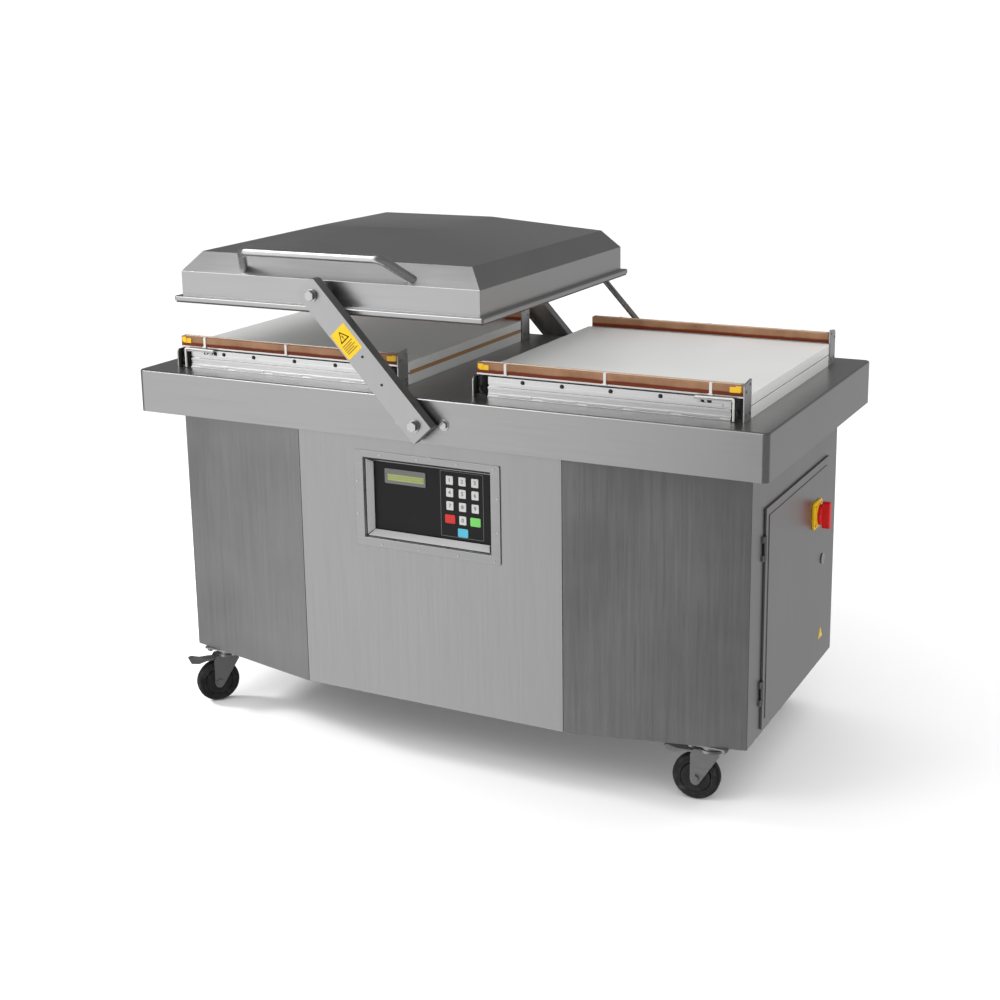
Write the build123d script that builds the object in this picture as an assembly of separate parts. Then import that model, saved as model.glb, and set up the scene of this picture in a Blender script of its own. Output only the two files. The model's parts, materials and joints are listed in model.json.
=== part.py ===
from build123d import *
import os
from math import sin, cos, tan, radians, degrees, sqrt, atan2, acos

# Double-chamber vacuum packing machine on castors.
# Millimetres.  +Z up, +X to the operator's right, the operator stands at -Y.
# Origin: on the floor, under the centre of the machine.

# ---------------------------------------------------------------- sizes
TABLE_L, TABLE_W, TABLE_TOP = 1630.0, 820.0, 896.0     # worktop tray
APRON, TRAY_T, TRAY_LIP = 106.0, 3.0, 20.0
TABLE_CORNER_R, TABLE_EDGE_R = 14.0, 5.0
BODY_X, BODY_MID_X = 752.0, 346.0                      # cabinet half lengths
BODY_FRONT, BODY_CORNER, BODY_BACK = -402.0, -316.0, 354.0
BODY_Z0 = 146.0                                        # underside of the cabinet
SHEET = 2.0

LID_X, LID_PIVOT_Z = -262.0, 1121.0                    # lid pivot at rest (left, half up)
BASE_PIVOT_Z = 839.0
PIVOT_OVER_FLANGE = 43.0
LID_HX, LID_HY = 410.0, 396.0                          # lid wall, half sizes
LID_FLANGE, LID_FLANGE_H = 15.0, 12.0
LID_WALL, LID_CHAMFER, LID_INSET, LID_ROOF = 59.0, 46.0, 38.5, 50.0
LID_PLATEAU = 0.42
LID_SHEET = 2.0
LID_Z0 = LID_PIVOT_Z - PIVOT_OVER_FLANGE               # flange underside at rest
GASKET_H = 4.0
CLOSED_GAP = 4.3                                       # flange above the worktop when shut

ARM_Y0, ARM_Y1, ARM_W, ARM_END = 418.0, 446.0, 62.0, 30.0
SHAFT_R, LID_PIN_R, RUN = 15.0, 10.0, 0.05
ROD_OFFSET, ROD_R, ROD_Y = 285.0, 7.5, 431.0
HEAD_Y = 459.0                                         # outermost bolt heads

CH_X = 419.0                                           # centre of each sealing frame
BAR_HALF, BAR_Y, BAR_Z0, BAR_Z1, BAR_TRAVEL = 316.0, 322.0, 50.0, 78.0, 10.0
POST_X, POST_R = 304.5, 13.0
PLATE_HALF, PLATE_Y = 321.0, 300.0

WHEEL_R, WHEEL_W, AXLE_R, TRAIL = 55.0, 30.0, 6.0, 34.0
CASTERS = {"front_left": (-672.0, -292.0, 50.0), "front_right": (664.0, -292.0, 8.0),
           "rear_left": (-620.0, 250.0, -70.0), "rear_right": (620.0, 250.0, -110.0)}

DOOR_Y0, DOOR_Y1, DOOR_Z0, DOOR_Z1 = -226.0, 269.0, 160.0, 679.0
LOCK_Y, LOCK_Z = 226.0, 427.0
SWITCH_Y, SWITCH_Z = 160.0, 560.0

OPEN_X0, OPEN_X1, OPEN_Z0, OPEN_Z1 = -166.0, 170.0, 544.0, 740.0   # control opening
BEZ_X0, BEZ_X1, BEZ_Z0, BEZ_Z1 = -190.0, 194.0, 523.0, 756.0
FACE_Y = -380.0                                        # face of the control plate

# ---------------------------------------------------------------- helpers
os.makedirs("parts", exist_ok=True)


def box(x0, x1, y0, y1, z0, z1):
    return Pos((x0 + x1) / 2, (y0 + y1) / 2, (z0 + z1) / 2) * Box(abs(x1 - x0), abs(y1 - y0), abs(z1 - z0))


def cyl(p0, p1, r):
    a, b = Vector(*p0), Vector(*p1)
    d = b - a
    return Plane(origin=(a + b) * 0.5, z_dir=d) * Cylinder(r, d.length)


def prism(pts, z0, z1):
    f = make_face(Polyline(*[(x, y, 0) for x, y in pts], close=True))
    return Pos(0, 0, z0) * extrude(f, amount=z1 - z0, dir=(0, 0, 1))


def prism_y(pts, y0, y1):
    # profile in the X-Z plane, extruded along Y
    f = make_face(Polyline(*[(x, y0, z) for x, z in pts], close=True))
    return extrude(f, amount=y1 - y0, dir=(0, 1, 0))


def prism_x(pts, x0, x1):
    # profile in the Y-Z plane, extruded along X
    f = make_face(Polyline(*[(x0, y, z) for y, z in pts], close=True))
    return extrude(f, amount=x1 - x0, dir=(1, 0, 0))


def rect_at(cx, cy, hx, hy, z):
    return Pos(cx, cy, z) * Rectangle(2 * hx, 2 * hy)


def hexagon(p0, p1, af):
    a, b = Vector(*p0), Vector(*p1)
    d = b - a
    pl = Plane(origin=a, z_dir=d)
    return extrude(pl * RegularPolygon(af / 2, 6, major_radius=False), amount=d.length, dir=d.normalized())


def save(name, *things):
    out = []
    for t in things:
        out += list(t.solids()) if not isinstance(t, (list, tuple)) else [s for q in t for s in q.solids()]
    shape = out[0] if len(out) == 1 else Compound(children=out)
    export_step(shape, "parts/%s.step" % name)


T = TABLE_TOP

# ---------------------------------------------------------------- worktop tray
outer = box(-TABLE_L / 2, TABLE_L / 2, -TABLE_W / 2, TABLE_W / 2, T - APRON, T)
outer = fillet(outer.edges().filter_by(Axis.Z), TABLE_CORNER_R)
outer = fillet(outer.faces().sort_by(Axis.Z)[-1].edges(), TABLE_EDGE_R)
inner = box(-TABLE_L / 2 + TRAY_T, TABLE_L / 2 - TRAY_T, -TABLE_W / 2 + TRAY_T, TABLE_W / 2 - TRAY_T,
            T - APRON + TRAY_T, T - TRAY_T)
inner = fillet(inner.edges().filter_by(Axis.Z), TABLE_CORNER_R - TRAY_T)
mouth = box(-TABLE_L / 2 + TRAY_LIP, TABLE_L / 2 - TRAY_LIP, -TABLE_W / 2 + TRAY_LIP, TABLE_W / 2 - TRAY_LIP,
            T - APRON - 1, T - APRON + TRAY_T + 1)
table = outer - inner - mouth
table -= cyl((0, -450, BASE_PIVOT_Z), (0, 450, BASE_PIVOT_Z), 22)
for sx in (-1, 1):
    table -= cyl((sx * CH_X, 0, T - 10), (sx * CH_X, 0, T + 5), 20)
save("table_top", table)

# flange bearings of the cross shaft, one behind each long apron
bear = []
for s in (-1, 1):
    b = cyl((0, s * (TABLE_W / 2 - 12), BASE_PIVOT_Z), (0, s * (TABLE_W / 2 - TRAY_T), BASE_PIVOT_Z), 42)
    b += cyl((0, s * (TABLE_W / 2 - 4), BASE_PIVOT_Z), (0, s * (TABLE_W / 2), BASE_PIVOT_Z), 22)
    b += cyl((0, s * (TABLE_W / 2 - 34), BASE_PIVOT_Z), (0, s * (TABLE_W / 2 - 11), BASE_PIVOT_Z), 28)
    b -= cyl((0, s * (TABLE_W / 2 - 60), BASE_PIVOT_Z), (0, s * (TABLE_W / 2 + 10), BASE_PIVOT_Z), SHAFT_R + RUN)
    bear.append(b)
save("shaft_bearings", bear)

# bearing bolts on both long aprons, two a side, low heads so that the arms pass over them
bolts = []
for s in (-1, 1):
    for x in (-57, 57):
        b = cyl((x, s * TABLE_W / 2, BASE_PIVOT_Z), (x, s * (TABLE_W / 2 + 1.6), BASE_PIVOT_Z), 13)
        b += hexagon((x, s * (TABLE_W / 2 + 1.5), BASE_PIVOT_Z), (x, s * (TABLE_W / 2 + 7.0), BASE_PIVOT_Z), 17)
        bolts.append(b)
save("apron_bolts", bolts)

# ---------------------------------------------------------------- cabinet panels
PZ0, PZ1 = BODY_Z0, T - APRON - 0.5
FLANGE = 18.0
dx, dy = BODY_X - BODY_MID_X, BODY_CORNER - BODY_FRONT
Ls = sqrt(dx * dx + dy * dy)
ux, uy = dx / Ls, dy / Ls            # along the slanted right front panel, outwards
nx, ny = -uy, ux                     # into the cabinet (right side)

center = box(-BODY_MID_X + 0.5, BODY_MID_X - 0.5, BODY_FRONT, BODY_FRONT + SHEET, PZ0, PZ1)
for s in (-1, 1):
    xa, xb = sorted((s * (BODY_MID_X - 0.5), s * (BODY_MID_X - 0.5 - SHEET)))
    center += box(xa, xb, BODY_FRONT, BODY_FRONT + FLANGE, PZ0, PZ1)
center -= box(OPEN_X0 - 1, OPEN_X1 + 1, BODY_FRONT - 5, BODY_FRONT + 10, OPEN_Z0 - 1, OPEN_Z1 + 1)
save("front_center_panel", center)


def slant_panel(s):
    a = (BODY_MID_X + 0.5, BODY_FRONT)
    b = (BODY_X - 0.3, BODY_CORNER - 0.1)
    pts = [a, b, (b[0] + nx * SHEET, b[1] + ny * SHEET), (a[0] + SHEET, a[1] + SHEET + 0.3),
           (a[0] + SHEET, a[1] + FLANGE), (a[0], a[1] + FLANGE)]
    pts = [(s * x, y) for x, y in pts]
    return prism(pts, PZ0, PZ1)


save("front_right_panel", slant_panel(1))
save("front_left_panel", slant_panel(-1))


def side_panel(s):
    y0, y1 = BODY_CORNER + 2.4, BODY_BACK
    p = box(s * (BODY_X - SHEET), s * BODY_X, y0, y1, PZ0, PZ1)
    p += box(s * (BODY_X - FLANGE), s * BODY_X, y0, y0 + SHEET, PZ0, PZ1)
    p += box(s * (BODY_X - FLANGE), s * BODY_X, y1 - SHEET, y1, PZ0, PZ1)
    return p


save("left_side_panel", side_panel(-1))
right = side_panel(1) - box(BODY_X - 10, BODY_X + 10, DOOR_Y0 + 18, DOOR_Y1 - 18, DOOR_Z0 + 18, DOOR_Z1 - 18)
save("right_side_panel", right)

rear = box(-BODY_X + FLANGE + 0.5, BODY_X - FLANGE - 0.5, BODY_BACK - SHEET, BODY_BACK, PZ0, PZ1)
for cx in (-430, 430):
    for i in range(7):
        z = 300 + i * 26
        rear -= box(cx - 110, cx + 110, BODY_BACK - 10, BODY_BACK + 10, z, z + 9)
GLAND = (560.0, 235.0)
rear -= cyl((GLAND[0], BODY_BACK - 10, GLAND[1]), (GLAND[0], BODY_BACK + 10, GLAND[1]), 12)
save("rear_panel", rear)

gland = cyl((GLAND[0], BODY_BACK - 14, GLAND[1]), (GLAND[0], BODY_BACK + 22, GLAND[1]), 11.9)
gland += hexagon((GLAND[0], BODY_BACK, GLAND[1]), (GLAND[0], BODY_BACK + 8, GLAND[1]), 32)
gland += hexagon((GLAND[0], BODY_BACK - 8, GLAND[1]), (GLAND[0], BODY_BACK - SHEET, GLAND[1]), 32)
gland += cyl((GLAND[0], BODY_BACK + 8, GLAND[1]), (GLAND[0], BODY_BACK + 18, GLAND[1]), 14)
gland -= cyl((GLAND[0], BODY_BACK - 30, GLAND[1]), (GLAND[0], BODY_BACK + 40, GLAND[1]), 6)
save("cable_gland", gland)

e = 2.6
floor_pts = [(-BODY_X + e, BODY_BACK - e), (-BODY_X + e, BODY_CORNER + e + 2), (-BODY_MID_X - 1, BODY_FRONT + e),
             (BODY_MID_X + 1, BODY_FRONT + e), (BODY_X - e, BODY_CORNER + e + 2), (BODY_X - e, BODY_BACK - e)]
bottom = prism(floor_pts, BODY_Z0, BODY_Z0 + 3)
for s in (-1, 1):
    bottom -= box(s * (BODY_MID_X - 4), s * (BODY_MID_X + 4), BODY_FRONT, BODY_FRONT + FLANGE + 1, 0, 300)
    bottom -= box(s * (BODY_X - FLANGE - 1), s * BODY_X, BODY_CORNER, BODY_CORNER + 6, 0, 300)
for k, (cx, cy, a) in CASTERS.items():
    bottom -= cyl((cx, cy, 0), (cx, cy, 300), 9)
save("bottom_plate", bottom)

# welded angle frame inside the cabinet
FX, FY0, FY1, LEG, AT = 738.0, -300.0, 346.0, 40.0, 4.0


def ring(z0, z1, w):
    return box(-FX, FX, FY0, FY1, z0, z1) - box(-FX + w, FX - w, FY0 + w, FY1 - w, z0 - 1, z1 + 1)


frame = ring(BODY_Z0 + 3, BODY_Z0 + 3 + AT, LEG) + ring(BODY_Z0 + 3, BODY_Z0 + 3 + LEG, AT)
frame += ring(T - APRON - 8 - LEG, T - APRON - 8, AT) + ring(T - APRON - 8 - AT, T - APRON - 8, LEG)
for sx in (-1, 1):
    for yy, sy in ((FY0, 1), (FY1, -1)):
        frame += box(sx * (FX - LEG), sx * FX, yy, yy + sy * AT, BODY_Z0 + 3, T - APRON - 8)
        frame += box(sx * (FX - AT), sx * FX, yy, yy + sy * LEG, BODY_Z0 + 3, T - APRON - 8)
for k, (cx, cy, a) in CASTERS.items():
    frame -= cyl((cx, cy, 0), (cx, cy, 300), 9)
# two cross rails carry the pump
for x in (-330, 60):
    frame += box(x, x + 40, FY0 + 2, FY1 - 2, BODY_Z0 + 3, BODY_Z0 + 3 + AT)
save("base_frame", frame)

# vacuum pump, its motor and the suction pipe to both chamber ports
pump = box(-420, -60, -150, 150, 156, 400)
pump = fillet(pump.edges().filter_by(Axis.X), 24)
pump += box(-440, -400, -120, 120, 190, 360)
for i in range(8):
    pump += box(-390 + i * 40, -380 + i * 40, -158, 158, 200, 360)
pump += cyl((-300, 0, 390), (-300, 0, 432), 34)
for sx in (-360, -120):
    pump += box(sx - 25, sx + 25, -150, 150, 153, 162)
save("vacuum_pump", pump)
motor = cyl((-59.5, 0, 290), (230, 0, 290), 98)
for i in range(12):
    a = radians(30 * i + 15)
    motor += Pos(90, 0, 290) * Rot(degrees(a), 0, 0) * box(-110, 110, -3, 3, 96, 108)
motor += cyl((228, 0, 290), (262, 0, 290), 90)
motor += box(20, 130, -45, 45, 380, 420)
save("pump_motor", motor)
zc = 700.0
pipe = cyl((-300, 0, 432.5), (-300, 0, zc), 26) + Pos(-300, 0, zc) * Sphere(26)
pipe += cyl((-CH_X, 0, zc), (CH_X, 0, zc), 26)
for sx in (-1, 1):
    pipe += Pos(sx * CH_X, 0, zc) * Sphere(26)
    pipe += cyl((sx * CH_X, 0, zc), (sx * CH_X, 0, T - 4), 26) + cyl((sx * CH_X, 0, T - 5), (sx * CH_X, 0, T), 19.8)
bore = cyl((-300, 0, 400), (-300, 0, zc), 17) + cyl((-CH_X, 0, zc), (CH_X, 0, zc), 17)
for sx in (-1, 1):
    bore += cyl((sx * CH_X, 0, zc), (sx * CH_X, 0, T + 5), 17)
pipe = pipe - bore
save("suction_manifold", pipe)

# ---------------------------------------------------------------- control panel
bz = box(BEZ_X0, BEZ_X1, BODY_FRONT - 3, BODY_FRONT, BEZ_Z0, BEZ_Z1)
bz = fillet(bz.edges().filter_by(Axis.Y), 4)
bz -= box(OPEN_X0, OPEN_X1, BODY_FRONT - 10, BODY_FRONT + 1, OPEN_Z0, OPEN_Z1)
SL = 13.0                                             # slope of the recess walls


def funnel(y0, y1, g0, g1):
    a = Plane(origin=((OPEN_X0 + OPEN_X1) / 2, y0, (OPEN_Z0 + OPEN_Z1) / 2), x_dir=(1, 0, 0), z_dir=(0, 1, 0))
    b = Plane(origin=((OPEN_X0 + OPEN_X1) / 2, y1, (OPEN_Z0 + OPEN_Z1) / 2), x_dir=(1, 0, 0), z_dir=(0, 1, 0))
    w, h = OPEN_X1 - OPEN_X0, OPEN_Z1 - OPEN_Z0
    return loft([a * Rectangle(w - 2 * g0, h - 2 * g0), b * Rectangle(w - 2 * g1, h - 2 * g1)])


cup = funnel(BODY_FRONT - 3, FACE_Y + 4, -1.6, SL - 1.6) - funnel(BODY_FRONT - 3, FACE_Y + 4, 0, SL)
cup += box(OPEN_X0 + SL - 1.2, OPEN_X1 - SL + 1.2, FACE_Y + 2.4, FACE_Y + 4, OPEN_Z0 + SL - 1.2, OPEN_Z1 - SL + 1.2) \
    - box(OPEN_X0 + SL + 8, OPEN_X1 - SL - 8, FACE_Y, FACE_Y + 10, OPEN_Z0 + SL + 8, OPEN_Z1 - SL - 8)
save("control_bezel", bz + cup)
plate = box(OPEN_X0 + SL + 1.8, OPEN_X1 - SL - 1.8, FACE_Y, FACE_Y + 2.3, OPEN_Z0 + SL + 1.8, OPEN_Z1 - SL - 1.8)
plate += box(OPEN_X0 + SL + 9, OPEN_X1 - SL - 9, FACE_Y + 2, FACE_Y + 46, OPEN_Z0 + SL + 9, OPEN_Z1 - SL - 9)
save("control_plate", plate)
lcd = box(-121, -11, FACE_Y - 2.2, FACE_Y, T - 220, T - 184)
lcd = fillet(lcd.edges().filter_by(Axis.Y), 3)
lcd -= box(-113, -16, FACE_Y - 5, FACE_Y - 1.2, T - 212, T - 197)
save("lcd_module", lcd)
KX = (52.0, 85.0, 118.0)
KZ = (T - 194.0, T - 223.5, T - 255.0, T - 287.0, T - 317.0)


def key(x, z):
    k = box(x - 11, x + 11, FACE_Y - 1.6, FACE_Y, z - 10.5, z + 10.5)
    k = fillet(k.edges().filter_by(Axis.Y), 2.5)
    return fillet(k.faces().sort_by(Axis.Y)[0].edges(), 0.8)


save("number_keys", [key(x, z) for z in KZ[:3] for x in KX] + [key(KX[1], KZ[3])])
save("function_keys", key(KX[0], KZ[3]), key(KX[2], KZ[3]), key(KX[1], KZ[4]))

# ---------------------------------------------------------------- service door, lock, main switch
DX0, DX1 = BODY_X + 0.6, BODY_X + 5.0
door = box(DX0 + 2.4, DX1, DOOR_Y0, DOOR_Y1, DOOR_Z0, DOOR_Z1)
door += box(DX0, DX1, DOOR_Y0, DOOR_Y1, DOOR_Z0, DOOR_Z1) - box(
    DX0 - 5, DX1 + 5, DOOR_Y0 + 2, DOOR_Y1 - 2, DOOR_Z0 + 2, DOOR_Z1 - 2)
door += box(DX1 - 0.5, DX1 + 1.6, DOOR_Y0 + 19, DOOR_Y1 - 19, DOOR_Z0 + 19, DOOR_Z1 - 19)
door = fillet(door.edges().filter_by(Axis.X).group_by(Axis.X)[-1], 3)
HXC, HYC = BODY_X + 4.6, DOOR_Y0 - 4.0                 # hinge axis
hinge_z = (250.0, 590.0)
for hz in hinge_z:
    door += box(HXC - 0.6, HXC + 0.6, HYC + 0.5, DOOR_Y0 + 1, hz - 14, hz + 14)
    door += cyl((HXC, HYC, hz - 14), (HXC, HYC, hz + 14), 4.0)
    door -= cyl((HXC, HYC, hz - 30), (HXC, HYC, hz + 30), 2.0 + RUN)
door -= cyl((DX0 - 5, LOCK_Y, LOCK_Z), (DX1 + 5, LOCK_Y, LOCK_Z), 9 + RUN)
door -= cyl((DX0 - 5, SWITCH_Y, SWITCH_Z), (DX1 + 5, SWITCH_Y, SWITCH_Z), 12)
save("service_door", door)
hing = []
for hz in hinge_z:
    h = cyl((HXC, HYC, hz - 28), (HXC, HYC, hz + 28), 2.0)
    for s in (-1, 1):
        za, zb = sorted((hz + s * 14.4, hz + s * 28))
        h += cyl((HXC, HYC, za), (HXC, HYC, zb), 4.0)
        h += box(BODY_X, HXC, HYC - 12, HYC, za, zb)
    hing.append(h)
save("door_hinges", hing)
LX = DX1 + 1.6
lock = cyl((BODY_X - 9, LOCK_Y, LOCK_Z), (LX + 1, LOCK_Y, LOCK_Z), 9)
lock += cyl((LX + 0.3, LOCK_Y, LOCK_Z), (LX + 3, LOCK_Y, LOCK_Z), 13)
lock -= box(LX + 1, LX + 6, LOCK_Y - 1.5, LOCK_Y + 1.5, LOCK_Z - 7, LOCK_Z + 7)
lock += box(BODY_X - 9, BODY_X - 6, LOCK_Y - 7, LOCK_Y + 7, LOCK_Z - 8, LOCK_Z + 34)
save("door_lock", lock)
sw = box(LX, LX + 6, SWITCH_Y - 33, SWITCH_Y + 33, SWITCH_Z - 33, SWITCH_Z + 33)
sw = fillet(sw.edges().filter_by(Axis.X), 7)
sw += cyl((LX + 5, SWITCH_Y, SWITCH_Z), (LX + 10, SWITCH_Y, SWITCH_Z), 28)
sw += cyl((BODY_X - 30, SWITCH_Y, SWITCH_Z), (LX + 1, SWITCH_Y, SWITCH_Z), 11.8)
sw -= cyl((LX - 20, SWITCH_Y, SWITCH_Z), (LX + 20, SWITCH_Y, SWITCH_Z), 5 + RUN)
save("switch_plate", sw)
hd = cyl((LX + 10.3, SWITCH_Y, SWITCH_Z), (LX + 19, SWITCH_Y, SWITCH_Z), 25)
hd = fillet(hd.faces().sort_by(Axis.X)[-1].edges(), 3)
grip = box(LX + 17, LX + 36, SWITCH_Y - 9, SWITCH_Y + 9, SWITCH_Z - 33, SWITCH_Z + 33)
grip = fillet(grip.edges().filter_by(Axis.X), 6)
grip = fillet(grip.faces().sort_by(Axis.X)[-1].edges(), 3)
hd += grip
hd += cyl((LX - 15, SWITCH_Y, SWITCH_Z), (LX + 12, SWITCH_Y, SWITCH_Z), 5)
save("switch_handle", hd)

# ---------------------------------------------------------------- sealing frames on the worktop
rails, plates, posts, ends = [], [], [], []
for sx in (-1, 1):
    cx = sx * CH_X
    for sy in (-1, 1):
        y = sy * BAR_Y
        rh = POST_X - POST_R - 3
        r = box(cx - rh, cx + rh, y - 15, y + 15, T, T + 3)
        r += box(cx - rh, cx + rh, y - 12, y + 12, T + 3, T + 24)
        r += box(cx - rh, cx + rh, y - 7, y + 7, T + 24, T + 29)
        r += box(cx - rh, cx + rh, y - 10, y + 10, T + 28, T + 46)
        for s2 in (-1, 1):
            r -= box(cx - rh - 5, cx + rh + 5, y + s2 * 10, y + s2 * 14, T + 9, T + 18)
        rails.append(r)
        for px in (-1, 1):
            p = cyl((cx + px * POST_X, y, T), (cx + px * POST_X, y, T + 48), POST_R)
            p = chamfer(p.edges().sort_by(Axis.Z)[-1], 2)
            p += box(cx + px * POST_X - 13.4, cx + px * POST_X + 13.4, y - 15, y + 15, T, T + 6)
            p -= cyl((cx + px * POST_X, y, T + 14), (cx + px * POST_X, y, T + 60), 5 + RUN)
            posts.append(p)
            xa = cx + px * 318.5
            if px > 0:      # the right-hand plates rise above the bar and stop a bag from sliding off
                pts = [(sy * 302, T), (sy * 346, T), (sy * 346, T + 78), (sy * 338, T + 84), (sy * 308, T + 88),
                       (sy * 302, T + 88)]
            else:
                pts = [(sy * 302, T), (sy * 346, T), (sy * 346, T + 40), (sy * 340, T + 46), (sy * 302, T + 46)]
            q = prism_x(pts, min(xa, xa + px * 4), max(xa, xa + px * 4))
            ends.append(q)
    lo = box(cx - PLATE_HALF, cx + PLATE_HALF, -PLATE_Y, PLATE_Y, T + 0.0, T + 26)
    up = box(cx - PLATE_HALF, cx + PLATE_HALF, -PLATE_Y, PLATE_Y, T + 28.5, T + 54)
    lo = fillet(lo.edges().filter_by(Axis.Z), 6)
    up = fillet(up.edges().filter_by(Axis.Z), 6)
    up = fillet(up.faces().sort_by(Axis.Z)[-1].edges(), 1.5)
    for px in (-1, 1):
        for py in (-1, 1):
            lo += cyl((cx + px * 250, py * 240, T + 25), (cx + px * 250, py * 240, T + 28.5), 14)
    plates += [lo, up]
save("support_rails", rails)
save("insert_plates", plates)
save("guide_cylinders", posts)
save("end_plates", ends)

for side, sx in (("left", -1), ("right", 1)):
    for pos, sy in (("front", -1), ("rear", 1)):
        cx, y = sx * CH_X, sy * BAR_Y
        b = box(cx - BAR_HALF, cx + BAR_HALF, y - 12, y + 12, T + BAR_Z0, T + BAR_Z0 + 4)
        b += box(cx - BAR_HALF, cx + BAR_HALF, y - 9.5, y + 9.5, T + BAR_Z0 + 4, T + BAR_Z1 - 2.5)
        for px in (-1, 1):
            b += cyl((cx + px * POST_X, y, T + 26), (cx + px * POST_X, y, T + BAR_Z0 + 2), 5)
        save("%s_%s_seal_bar" % (side, pos), b)
        c = box(cx - BAR_HALF + 1, cx + BAR_HALF - 1, y - 12, y + 12, T + BAR_Z0 + 4, T + BAR_Z1)
        c = fillet(c.edges().filter_by(Axis.X).group_by(Axis.Z)[-1], 3)
        c -= box(cx - BAR_HALF - 1, cx + BAR_HALF + 1, y - 9.5, y + 9.5, T + BAR_Z0 + 3, T + BAR_Z1 - 2.5)
        save("%s_%s_bar_cover" % (side, pos), c)

# ---------------------------------------------------------------- swinging arms and cross shaft
LEAN = atan2(-LID_X, LID_PIVOT_Z - BASE_PIVOT_Z)
ARM_R = sqrt(LID_X ** 2 + (LID_PIVOT_Z - BASE_PIVOT_Z) ** 2)


def arm(s):
    # built upright at the base pivot, then leant over; channel open towards the table
    y0, y1 = s * ARM_Y0, s * ARM_Y1
    a = box(-ARM_W / 2, ARM_W / 2, y0, y1, -ARM_END, ARM_R + ARM_END)
    a = chamfer(a.edges().filter_by(Axis.Y).group_by(Axis.Z)[-1], 7)
    a -= box(-ARM_W / 2 + 3, ARM_W / 2 - 3, s * (ARM_Y0 - 1), s * (ARM_Y1 - 3), -ARM_END + 3, ARM_R + ARM_END - 8)
    a += cyl((0, y0, 0), (0, s * (ARM_Y1 - 2), 0), 25)
    a += cyl((0, y0, ARM_R), (0, s * (ARM_Y1 - 2), ARM_R), 18)
    a -= cyl((0, s * (ARM_Y0 - 5), 0), (0, s * (ARM_Y1 - 3), 0), SHAFT_R)
    a -= cyl((0, s * (ARM_Y0 - 5), ARM_R), (0, s * (ARM_Y1 + 5), ARM_R), LID_PIN_R + RUN)
    return Pos(0, 0, BASE_PIVOT_Z) * Rot(0, -degrees(LEAN), 0) * a


save("front_arm", arm(-1))
save("rear_arm", arm(1))
shaft = cyl((0, -ARM_Y1 + 3, BASE_PIVOT_Z), (0, ARM_Y1 - 3, BASE_PIVOT_Z), SHAFT_R)
save("cross_shaft", shaft)
ab = []
for s in (-1, 1):
    q = cyl((0, s * ARM_Y1, BASE_PIVOT_Z), (0, s * (ARM_Y1 + 2.5), BASE_PIVOT_Z), 15)
    q += hexagon((0, s * (ARM_Y1 + 2), BASE_PIVOT_Z), (0, s * HEAD_Y, BASE_PIVOT_Z), 22)
    ab.append(q)
save("arm_bolts", ab)

# ---------------------------------------------------------------- lid
zA, zB, zC, zD = LID_Z0, LID_Z0 + LID_FLANGE_H + LID_WALL, LID_Z0 + LID_FLANGE_H + LID_WALL + LID_CHAMFER, 0
zD = zC + LID_ROOF


def lid_solid(hx, hy, z0, z1, z2, z3, inset, k, top_cut=0.0):
    s = box(LID_X - hx, LID_X + hx, -hy, hy, z0, z1)
    s += loft([rect_at(LID_X, 0, hx, hy, z1), rect_at(LID_X, 0, hx - inset, hy - inset, z2)], ruled=True)
    s += loft([rect_at(LID_X, 0, hx - inset, hy - inset, z2),
               rect_at(LID_X, 0, (hx - inset) * k, (hy - inset) * k, z3)], ruled=True)
    return s


lid_out = lid_solid(LID_HX, LID_HY, zA, zB, zC, zD, LID_INSET, LID_PLATEAU)
t = LID_SHEET
lid_in = lid_solid(LID_HX - t, LID_HY - t, zA - 5, zB - 0.9, zC - 2.1, zD - 2.1, LID_INSET, LID_PLATEAU)
flange = box(LID_X - LID_HX - LID_FLANGE, LID_X + LID_HX + LID_FLANGE, -LID_HY - LID_FLANGE, LID_HY + LID_FLANGE,
             zA, zA + LID_FLANGE_H)
flange = fillet(flange.edges().filter_by(Axis.Z), 6)
flange = fillet(flange.faces().sort_by(Axis.Z)[-1].edges(), 4)
lid = lid_out + flange - lid_in
save("lid_shell", lid)

g = box(LID_X - LID_HX - 12, LID_X + LID_HX + 12, -LID_HY - 12, LID_HY + 12, zA - GASKET_H, zA)
g -= box(LID_X - LID_HX - 2, LID_X + LID_HX + 2, -LID_HY - 2, LID_HY + 2, zA - GASKET_H - 1, zA + 1)
g = fillet(g.edges().filter_by(Axis.Z), 3)
save("lid_gasket", g)

CLOSED_DROP = LID_PIVOT_Z - (T + CLOSED_GAP + PIVOT_OVER_FLANGE)
cb = []
cz = T + 89.0 + CLOSED_DROP
for s in (-1, 1):
    q = box(LID_X - 368, LID_X + 368, s * BAR_Y - 10, s * BAR_Y + 10, cz, cz + 16)
    for x in (-220, 0, 220):
        q += box(LID_X + x - 9, LID_X + x + 9, s * BAR_Y - 5, s * BAR_Y + 5, cz + 15, zC + 3)
    cb.append(q)
save("counter_bars", cb)

h = FilletPolyline((LID_X - 234, -381, 1159), (LID_X - 189, -448, 1214), (LID_X + 189, -448, 1214),
                   (LID_X + 234, -381, 1159), radius=26)
hs = sweep(Plane(origin=h @ 0, z_dir=h % 0) * Circle(11), path=h)
save("lid_handle", hs - lid_out)

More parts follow.
